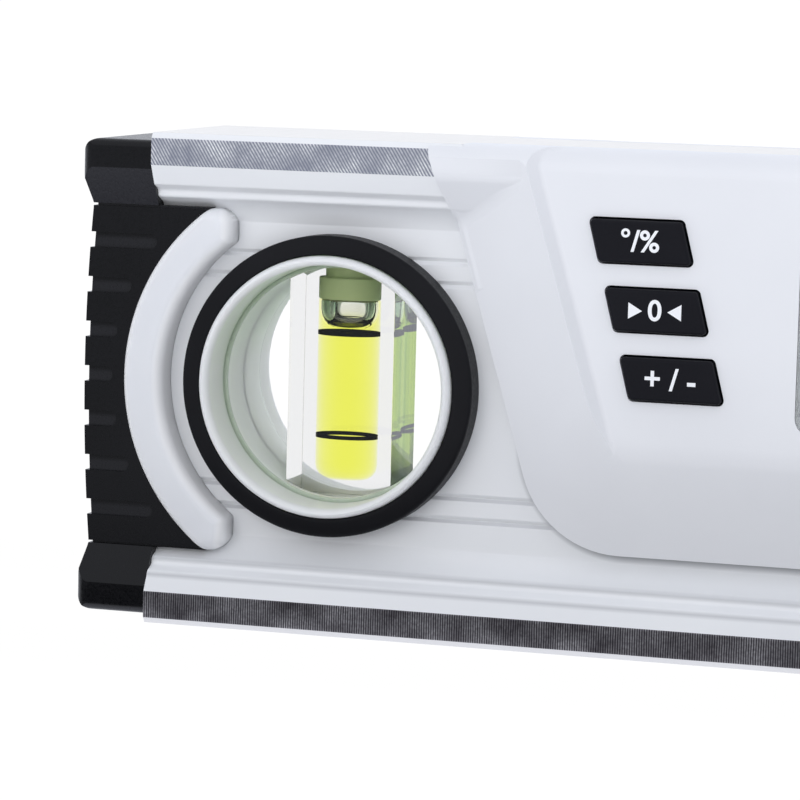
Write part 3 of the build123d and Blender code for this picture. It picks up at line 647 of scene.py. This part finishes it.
def joined(pieces):
    """Pieces made one, which keeps the first one's name."""
    pick(pieces[0])
    for piece in pieces:
        piece.select_set(True)
    bpy.ops.object.join()
    return pieces[0]


def twin_of(piece, name):
    """Copy of a piece with its own mesh."""
    pick(piece)
    bpy.ops.object.duplicate()
    twin = bpy.context.object
    twin.name = name
    return twin


def copy_of(node, name):
    """Copy of a CAD solid with its triangles merged and its flat faces joined."""
    clear()
    piece = bpy.data.objects.new(name, frame["nodes"][node].data.copy())
    scene.collection.objects.link(piece)
    edit_all(piece)
    bpy.ops.mesh.remove_doubles(threshold=MERGE)
    bpy.ops.mesh.dissolve_limited(angle_limit=radians(0.3))
    end_edit()
    return piece


def box_piece(name, size, spot):
    """Box with its size and place in its mesh."""
    clear()
    bpy.ops.mesh.primitive_cube_add(size=1.0, location=ORIGIN)
    piece = bpy.context.object
    piece.name = name
    edit_all(piece)
    bpy.ops.transform.resize(value=size)
    bpy.ops.transform.translate(value=spot)
    end_edit()
    return piece


def start_point(name, spot):
    """New piece of one vertex, still in edit mode."""
    clear()
    bpy.ops.mesh.primitive_plane_add(size=MM, location=ORIGIN)
    piece = bpy.context.object
    piece.name = name
    edit_all(piece)
    bpy.ops.mesh.merge(type="CENTER")
    bpy.ops.transform.translate(value=spot)
    return piece


def flat_shape(name, corners, radius):
    """New piece of one upright face with equal sides, still in edit mode."""
    clear()
    bpy.ops.mesh.primitive_circle_add(vertices=corners, radius=radius, fill_type="NGON",
                                      location=ORIGIN)
    piece = bpy.context.object
    piece.name = name
    edit_all(piece)
    turn(90, "X")
    return piece


def turned(name, section, spot, centre, axis, steps):
    """Round piece spun from its half section in mm; spot places a (radius, along) pair."""
    points = [Vector(spot(radius * MM, along * MM)) for radius, along in section]
    piece = start_point(name, points[0])
    for last, point in zip(points, points[1:]):
        bpy.ops.mesh.extrude_region_move(TRANSFORM_OT_translate={"value": point - last})
    select_all()
    bpy.ops.mesh.spin(steps=steps, angle=2 * pi, center=centre, axis=axis)
    select_all()
    bpy.ops.mesh.remove_doubles(threshold=MERGE)
    bpy.ops.mesh.normals_make_consistent(inside=False)
    end_edit()
    return piece


def cut_away(piece, cutter):
    apply(piece, "BOOLEAN", operation="DIFFERENCE", object=cutter, solver="EXACT")
    bpy.data.objects.remove(cutter)


def round_edges(piece, width, angle):
    """Bevel on every edge sharper than the angle."""
    start_edit(piece, "EDGE")
    bpy.ops.mesh.select_all(action="DESELECT")
    bpy.ops.mesh.edges_select_sharp(sharpness=radians(angle))
    bpy.ops.mesh.bevel(offset=width, segments=2, profile=0.5, clamp_overlap=True)
    end_edit()


def even_shading(piece, angle):
    """Smooth shading up to an angle, with flat faces kept flat."""
    pick(piece)
    bpy.ops.object.shade_smooth_by_angle(angle=radians(angle))
    apply(piece, "WEIGHTED_NORMAL", keep_sharp=True, weight=80)


def settle(piece, finish, body, slot, *nodes):
    """Finish, body and the CAD nodes that a piece stands for; the slot argument is not used."""
    piece.data.materials.clear()
    piece.data.materials.append(finish)
    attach(piece, body)
    if nodes:
        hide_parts(*nodes)


def middle_of(node):
    low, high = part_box(node)
    return (low + high) / 2


# Beam, end plugs and boots

def make_beam():
    beam = copy_of("beam_extrusion", "beam")
    round_edges(beam, width=0.08 * MM, angle=20)
    even_shading(beam, angle=25)
    settle(beam, beam_finish(), "chassis", "painted_beam", "beam_extrusion")


def make_ends():
    white = plug_plastic()
    rubber = boot_rubber()
    for side in SIDES:
        plug = copy_of(f"{side}_end_plug", f"{side}_arc_plug")
        even_shading(plug, angle=35)
        settle(plug, white, "chassis", "white_moulding", f"{side}_end_plug")
        boot = copy_of(f"{side}_end_boot", f"{side}_rubber_boot")
        round_edges(boot, width=0.24 * MM, angle=20)
        even_shading(boot, angle=35)
        settle(boot, rubber, "chassis", "boot_rubber", f"{side}_end_boot")


# Round windows: bezels, vial holders and vials. Half sections are (radius, along) in mm.

BEZEL_SECTION = (
    (15.95, 7.5), (15.95, 11.15), (16.0, 11.3), (16.15, 11.38), (16.5, 11.36), (17.2, 11.2),
    (17.8, 11.02), (18.05, 10.92), (18.2, 10.8), (18.28, 10.62), (18.3, 10.4), (18.3, 7.5),
    (15.95, 7.5))
HOLDER_SECTION = (
    (14.1, 0.0), (14.1, 6.05), (14.16, 6.2), (14.5, 6.22), (14.6, 6.35), (14.7, 11.2),
    (14.75, 11.6), (14.9, 11.95), (15.1, 12.18), (15.3, 12.28), (15.5, 12.18), (15.7, 11.95),
    (15.85, 11.6), (15.9, 11.2), (15.9, 7.5), (17.0, 7.5), (17.0, 0.0), (14.1, 0.0))
BUBBLE_SECTION = (
    (0.0, 9.9), (3.5, 9.9), (3.61, 9.8), (3.65, 9.6), (3.65, 8.7), (3.55, 8.0), (3.25, 7.3),
    (2.75, 6.8), (2.1, 6.5), (1.2, 6.39), (0.0, 6.36))
LIQUID_SECTION = (
    (0.0, -12.26), (2.1, -12.26), (2.8, -12.12), (3.4, -11.72), (3.8, -11.12), (3.93, -10.42),
    (3.93, 9.92), (0.0, 9.92))
STOPPER_SECTION = (
    (0.0, 9.97), (3.8, 9.97), (3.92, 10.1), (3.92, 12.55), (3.8, 12.68), (3.1, 12.68),
    (3.1, 14.5), (0.0, 14.5))


def make_rings():
    """Bezel and vial holder, each spun once at the left front and copied to the other places."""
    first = middle_of("left_vial_block")

    def spot(radius, along):
        return first.x + radius, -along, first.z

    black = bezel_plastic()
    white = holder_plastic()
    ring = turned("ring", BEZEL_SECTION, spot, first, (0, 1, 0), steps=160)
    funnel = turned("funnel", HOLDER_SECTION, spot, first, (0, 1, 0), steps=160)
    for side in SIDES:
        shift = middle_of(f"{side}_vial_block") - first
        for half, sign in HALVES:
            bezel = ring_copy(ring, f"{side}_{half}_ring", first, sign, shift)
            even_shading(bezel, angle=50)
            settle(bezel, black, "chassis", "black_bezel", f"{side}_{half}_bezel")
            holder = ring_copy(funnel, f"{side}_{half}_funnel", first, sign, shift)
            cut_pocket(holder, side)
            even_shading(holder, angle=40)
            settle(holder, white, "chassis", "holder_plastic", f"{side}_{half}_vial_holder")
    bpy.data.objects.remove(ring)
    bpy.data.objects.remove(funnel)


def ring_copy(ring, name, centre, sign, shift):
    """Copy of a front ring, turned to the rear where the sign says so, and moved."""
    piece = twin_of(ring, name)
    edit_all(piece)
    if sign > 0:
        turn(180, "Z", centre)
    bpy.ops.transform.translate(value=shift)
    end_edit()
    return piece


def cut_pocket(holder, side):
    """Pocket for the vial block, cut with a box a little larger than the block."""
    gap = Vector((0.2 * MM,) * 3)
    low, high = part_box(f"{side}_vial_block")
    cut_away(holder, box_piece("pocket", high - low + gap, (low + high) / 2))


def vial_spot(side):
    """Centre and axis of an upright or level vial, and the place of a (radius, along) pair."""
    centre = middle_of(f"{side}_vial_block")
    if side == "left":
        return centre, (0, 0, 1), lambda radius, along: (centre.x + radius, 0, centre.z + along)
    return centre, (1, 0, 0), lambda radius, along: (centre.x + along, 0, centre.z - radius)


def along_vial(side, name, section):
    """Round piece of a vial from its half section."""
    centre, axis, spot = vial_spot(side)
    return turned(name, section, spot, centre, axis, steps=96)


def make_bubble(side, name, grow):
    """Bubble of the upright vial, flat under the stopper, or of the level one, a long drop."""
    if side == "left":
        under_stopper = 9
        section = [(radius and radius + grow, along - grow if along < under_stopper else along)
                   for radius, along in BUBBLE_SECTION]
        return along_vial(side, name, section)
    clear()
    bpy.ops.mesh.primitive_uv_sphere_add(segments=64, ring_count=32, radius=1.0, location=ORIGIN)
    bubble = bpy.context.object
    bubble.name = name
    edit_all(bubble)
    half_sizes, from_middle = (5.7, 2.7, 1.25), Vector((-0.55 * MM, 0, 2.32 * MM))
    bpy.ops.transform.resize(value=[(half + grow) * MM for half in half_sizes])
    bpy.ops.transform.translate(value=middle_of(f"{side}_vial_block") + from_middle)
    end_edit()
    return bubble


def hollow_out(piece, bubble):
    """Bubble taken into a piece as a closed hollow: its surface turned inwards and joined."""
    edit_all(bubble)
    bpy.ops.mesh.flip_normals()
    end_edit()
    joined([piece, bubble])


def make_block(side):
    """Clear block with softened edges; what fills its bore matches it, so only the bubble shows."""
    low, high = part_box(f"{side}_vial_block")
    block = box_piece(f"{side}_clear_block", high - low, (low + high) / 2)
    edit_all(block)
    bpy.ops.mesh.bevel(offset=0.03 * MM, segments=1, profile=0.5)
    end_edit()
    hollow_out(block, make_bubble(side, "block_hollow", grow=0.0))
    even_shading(block, angle=25)
    return block


def make_liquid(side):
    """Liquid with the hollow of the bubble, a little larger than in the block."""
    liquid = along_vial(side, f"{side}_liquid", LIQUID_SECTION)
    hollow_out(liquid, make_bubble(side, "liquid_hollow", grow=0.02))
    even_shading(liquid, angle=40)
    return liquid


def make_stopper(side):
    stopper = along_vial(side, f"{side}_stopper", STOPPER_SECTION)
    even_shading(stopper, angle=40)
    return stopper


def make_reading_rings(side):
    """Two dark rings round the bore, the second one a copy of the first."""
    inner, outer, low, high, spacing = 3.75, 3.93, 5.56, 6.04, 12.7
    section = ((inner, low), (outer, low), (outer, high), (inner, high), (inner, low))
    ring = along_vial(side, f"{side}_reading_rings", section)
    twin = twin_of(ring, "second_ring")
    axis = Vector(vial_spot(side)[1])
    put(twin, axis * -spacing * MM)
    rings = joined([ring, twin])
    even_shading(rings, angle=40)
    return rings


def make_vials():
    clear_acrylic, liquid, frosted, dark = acrylic(), vial_liquid(), frosted_plug(), dark_line()
    for side in SIDES:
        settle(make_block(side), clear_acrylic, "chassis", "clear_acrylic", f"{side}_vial_block")
        settle(make_liquid(side), liquid, "chassis", "vial_liquid", f"{side}_vial_liquid")
        settle(make_stopper(side), frosted, "chassis", "frosted_plug", f"{side}_vial_plug")
        settle(make_reading_rings(side), dark, "chassis", "dark_line", f"{side}_vial_lines")


# Display housing and keys

def make_housings():
    plastic = housing_plastic()
    for half, sign in HALVES:
        shell = copy_of(f"{half}_housing", f"{half}_shell")
        skins = [soft_skin(shell, side, sign) for side in (-1, 1)]
        soften_ridges(shell, sign)
        round_edges(shell, width=0.12 * MM, angle=25)
        even_shading(shell, angle=30)
        shell = joined([shell] + skins)
        settle(shell, plastic, "chassis", "housing_plastic", f"{half}_housing")
    door = copy_of("battery_door", "battery_cover")
    round_edges(door, width=0.15 * MM, angle=30)
    even_shading(door, angle=30)
    settle(door, plastic, "door", "housing_plastic", "battery_door")


def soft_skin(shell, side, sign):
    """Skin over the valley between a cheek and the skirt above it, relaxed until it fills it."""
    width, height, thickness, lean = 10.6 * MM, 14.0 * MM, 0.05 * MM, 16.8
    valley = (side * 60.98 * MM, sign * 30 * MM, 50.5 * MM)
    sink, border_sink = 0.055 * MM, 0.2 * MM
    clear()
    bpy.ops.mesh.primitive_grid_add(x_subdivisions=36, y_subdivisions=54, size=1.0, location=ORIGIN)
    skin = bpy.context.object
    skin.name = "valley_skin"
    edit_all(skin)
    turn(90, "X")
    bpy.ops.transform.resize(value=(width, 1, height))
    turn(-side * lean, "Y")
    bpy.ops.transform.translate(value=valley)
    select_all()
    bpy.ops.mesh.select_less()
    skin.vertex_groups.new(name="inner")
    bpy.ops.object.vertex_group_assign()
    end_edit()
    apply(skin, "SHRINKWRAP", target=shell, wrap_method="PROJECT", use_project_y=True,
          use_negative_direction=True, use_positive_direction=True)
    apply(skin, "SMOOTH", factor=0.5, iterations=70, use_x=False, use_z=False, vertex_group="inner")
    put(skin, (0, -sign * sink, 0))
    edit_all(skin)
    bpy.ops.mesh.region_to_loop()
    bpy.ops.transform.translate(value=(0, -sign * border_sink, 0))
    end_edit()
    apply(skin, "SOLIDIFY", thickness=thickness, offset=-sign)
    edit_all(skin)
    bpy.ops.mesh.normals_make_consistent(inside=False)
    end_edit()
    even_shading(skin, angle=60)
    return skin


def soften_ridges(shell, sign):
    """Wide bevel on the two ridges between the cheeks and the sunk panel."""
    start_edit(shell, "EDGE")
    bpy.ops.mesh.select_all(action="DESELECT")
    end_edit()
    for edge in shell.data.edges:
        ends = [shell.data.vertices[index].co for index in edge.vertices]
        edge.select = all(on_ridge(point, sign) for point in ends)
    start_edit(shell, "EDGE")
    bpy.ops.mesh.bevel(offset=0.6 * MM, segments=4, profile=0.5, clamp_overlap=True)
    end_edit()


def on_ridge(point, sign):
    """True on the crest beside the panel, which leans with the housing's sides."""
    ridge_x, key_row, lean, near = 52.2 * MM, 41.5 * MM, 0.302, 1.2 * MM
    low, high, proud = 27 * MM, 58 * MM, 14.6 * MM
    crest = ridge_x + (point.z - key_row) * lean
    beside = abs(abs(point.x) - crest) < near
    return low < point.z < high and sign * point.y > proud and beside


def make_keys():
    rubber = key_rubber()
    for side in SIDES:
        for row in ("upper", "middle", "lower"):
            name = f"{side}_{row}_key"
            cap = copy_of(name, f"{name}_pad")
            even_shading(cap, angle=40)
            settle(cap, rubber, f"{name}_cap", "key_rubber", name)


# Signs on the keys: white print about the origin, facing the front

def sign_text(name, body, size):
    """Sign of letters or figures."""
    clear()
    bpy.ops.object.text_add(location=ORIGIN, rotation=(radians(90), 0, 0))
    sign = bpy.context.object
    sign.name = name
    sign.data.body = body
    sign.data.size = size
    sign.data.align_x = "CENTER"
    sign.data.align_y = "CENTER"
    sign.data.extrude = PRINT / 2
    sign.data.offset = 0.06 * MM
    bpy.ops.object.convert(target="MESH")
    bpy.ops.object.transform_apply(location=True, rotation=True, scale=True)
    return sign


def sign_bar(name, width, height):
    """Upright bar with softened edges."""
    bar = box_piece(name, (width, PRINT, height), ORIGIN)
    edit_all(bar, "EDGE")
    bpy.ops.mesh.bevel(offset=0.012 * MM, segments=2)
    end_edit()
    return bar


def sign_arc(name, radius, width, degrees):
    """Flat arc, open at the top unless it is a full ring."""
    arc = start_point(name, (0, -PRINT / 2, radius - width / 2))
    bpy.ops.mesh.extrude_region_move(TRANSFORM_OT_translate={"value": (0, 0, width)})
    turn(180 - degrees / 2, "Y")
    select_all()
    bpy.ops.mesh.spin(steps=48, angle=radians(degrees), center=ORIGIN, axis=(0, 1, 0))
    select_all()
    if degrees == 360:
        bpy.ops.mesh.remove_doubles(threshold=MERGE)
    thicken(PRINT)
    end_edit()
    return arc


def sign_pointer(x, degrees):
    """Triangle beside a figure."""
    pointer = flat_shape("pointer", corners=3, radius=1.1 * MM)
    turn(degrees, "Y")
    thicken(PRINT)
    bpy.ops.transform.translate(value=(x, -PRINT / 2, 0))
    end_edit()
    return pointer


def zero_sign(name):
    """Figure 0 between two pointers."""
    from_middle = 2.6 * MM
    figure = sign_text(name, "0", size=3.4 * MM)
    left = sign_pointer(x=-from_middle, degrees=90)
    right = sign_pointer(x=from_middle, degrees=-90)
    return joined([figure, left, right])


def power_sign(name):
    """Open ring with a stroke in its gap."""
    line = 0.42 * MM
    stroke = sign_bar("power_stroke", width=line, height=1.5 * MM)
    put(stroke, (0, 0, 0.75 * MM))
    return joined([sign_arc(name, radius=1.15 * MM, width=line, degrees=290), stroke])


def hold_sign(name):
    """Two upright bars."""
    from_middle = 0.75 * MM
    bar = sign_bar(name, width=0.7 * MM, height=2.4 * MM)
    twin = twin_of(bar, "hold_stroke")
    put(bar, (-from_middle, 0, 0))
    put(twin, (from_middle, 0, 0))
    return joined([bar, twin])


def light_sign(name):
    """Ring with eight rays, one of them modelled and the others copied."""
    count = 8
    ring = sign_arc(name, radius=0.7 * MM, width=0.36 * MM, degrees=360)
    ray = sign_bar("light_ray", width=0.3 * MM, height=0.55 * MM)
    put(ray, (0, 0, 1.35 * MM))
    rays = [ray]
    for index in range(1, count):
        copy = twin_of(ray, "light_ray")
        edit_all(copy)
        turn(360 / count * index, "Y")
        end_edit()
        rays.append(copy)
    return joined([ring] + rays)


def make_signs():
    white = key_print()
    signs = {
        "left_upper_key": sign_text("unit_sign", "\u00b0/%", size=3.5 * MM),
        "left_middle_key": zero_sign("zero_sign"),
        "left_lower_key": sign_text("trim_sign", "+ / -", size=3.6 * MM),
        "right_upper_key": power_sign("power_sign"),
        "right_middle_key": hold_sign("hold_sign"),
        "right_lower_key": light_sign("light_sign"),
    }
    proud = 0.01 * MM
    for node, sign in signs.items():
        low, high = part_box(node)
        put(sign, ((low.x + high.x) / 2, low.y - proud, (low.z + high.z) / 2))
        settle(sign, white, f"{node}_cap", None)


# Display: figures on the glass and the print behind the lens

def segment(name):
    """Upright bar of a figure, pointed at both ends: a flat six-sided prism."""
    slim, tall = 0.78, 2.95
    bar = flat_shape(name, corners=6, radius=0.9 * MM)
    bpy.ops.transform.resize(value=(slim, 1, tall))
    thicken(0.03 * MM)
    end_edit()
    return bar


def figure_zero(bar, x):
    """Figure 0 of six copies of a bar: top, bottom, and two on each side."""
    wide, high = 2.8, 5.6
    bars = []
    for across, up in ((0, high), (0, -high), (-wide, high / 2), (wide, high / 2),
                       (-wide, -high / 2), (wide, -high / 2)):
        copy = twin_of(bar, "figure_bar")
        edit_all(copy)
        if across == 0:
            turn(90, "Y")
        bpy.ops.transform.translate(value=((x + across) * MM, 0, up * MM))
        end_edit()
        bars.append(copy)
    return bars


def make_reading():
    """Reading 0.0 with a degree sign on the display glass."""
    proud = 0.06 * MM
    low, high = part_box("display_glass")
    bar = segment("bar_pattern")
    bars = figure_zero(bar, x=-5.2) + figure_zero(bar, x=6.0)
    bpy.data.objects.remove(bar)
    point = sign_bar("reading_point", width=1.3 * MM, height=1.3 * MM)
    put(point, (0.4 * MM, PRINT / 2, -5.6 * MM))
    degree = sign_arc("degree_ring", radius=1.1 * MM, width=0.6 * MM, degrees=360)
    put(degree, (12.4 * MM, PRINT / 2, 5.0 * MM))
    reading = joined(bars + [point, degree])
    reading.name = "reading"
    put(reading, (0, low.y - proud, (low.z + high.z) / 2))
    settle(reading, display_ink(), "chassis", None)


def make_lens_print():
    """Dark frame printed on the back of the lens."""
    edge, gap = 2 * MM, 0.03 * MM
    low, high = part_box("display_window")
    clear()
    bpy.ops.mesh.primitive_plane_add(size=1.0, location=ORIGIN)
    border = bpy.context.object
    border.name = "lens_frame_print"
    edit_all(border, "FACE")
    turn(90, "X")
    bpy.ops.transform.resize(value=(high.x - low.x - edge, 1, high.z - low.z - edge))
    bpy.ops.mesh.bevel(offset=1.2 * MM, segments=5, affect="VERTICES")
    bpy.ops.mesh.inset(thickness=1.6 * MM)
    bpy.ops.mesh.delete(type="FACE")
    select_all()
    thicken(PRINT)
    end_edit()
    put(border, ((low.x + high.x) / 2, high.y + gap, (low.z + high.z) / 2))
    settle(border, lens_print(), "chassis", None)


# Screws and what is inside

SCREW_HEAD = (
    (1.08, 4.0), (2.05, 4.0), (2.25, 4.15), (2.28, 4.5), (2.2, 4.95), (1.9, 5.3), (1.2, 5.52),
    (0.0, 5.6))


def make_screws():
    """Two kinds of screw, each spun and cut once, with a copy on the other side."""
    steel = bright_steel()
    screws = []
    for name, tip, x, z in (("upper", -9.75, 30.0, 53.9), ("lower", -3.95, 39.95, 21.2)):
        section = ((0.0, tip), (0.7, tip), (1.08, tip + 0.5)) + SCREW_HEAD
        screw = turned(f"{name}_screw", section, lambda radius, along: (radius, along, 0),
                       ORIGIN, (0, 1, 0), steps=48)
        cut_cross(screw)
        even_shading(screw, angle=30)
        twin = twin_of(screw, f"{name}_twin")
        put(screw, (-x * MM, 0, z * MM))
        put(twin, (x * MM, 0, z * MM))
        screws += [screw, twin]
    joined(screws).name = "cross_screws"
    settle(screws[0], steel, "chassis", "bright_steel", "housing_screws")


def cut_cross(screw):
    """Cross recess in a screw's head, cut as two slots."""
    wide, narrow, deep, slot_y = 2.6 * MM, 0.55 * MM, 1.6 * MM, 5.4 * MM
    for size in ((narrow, deep, wide), (wide, deep, narrow)):
        cut_away(screw, box_piece("slot", size, (0, slot_y, 0)))


def dress(finish, *nodes):
    """Finish for CAD nodes that keep their own shape."""
    for node in nodes:
        mesh = frame["nodes"][node].data
        mesh.materials.clear()
        mesh.materials.append(finish)


def dress_inside():
    dress(display_glass(), "display_glass")
    dress(lens_plastic(), "display_window")
    dress(carrier_plastic(), "display_carrier")
    dress(circuit_board(), "main_board")
    dress(component_plastic(), "key_switches", "processor_chip", "tilt_sensor", "buzzer")
    dress(battery_wrap(), "batteries")
    dress(bright_steel(), "battery_contacts")


set_camera()
set_floor()
set_mat()
set_light()
make_beam()
make_ends()
make_rings()
make_vials()
make_housings()
make_keys()
make_signs()
make_reading()
make_lens_print()
make_screws()
dress_inside()
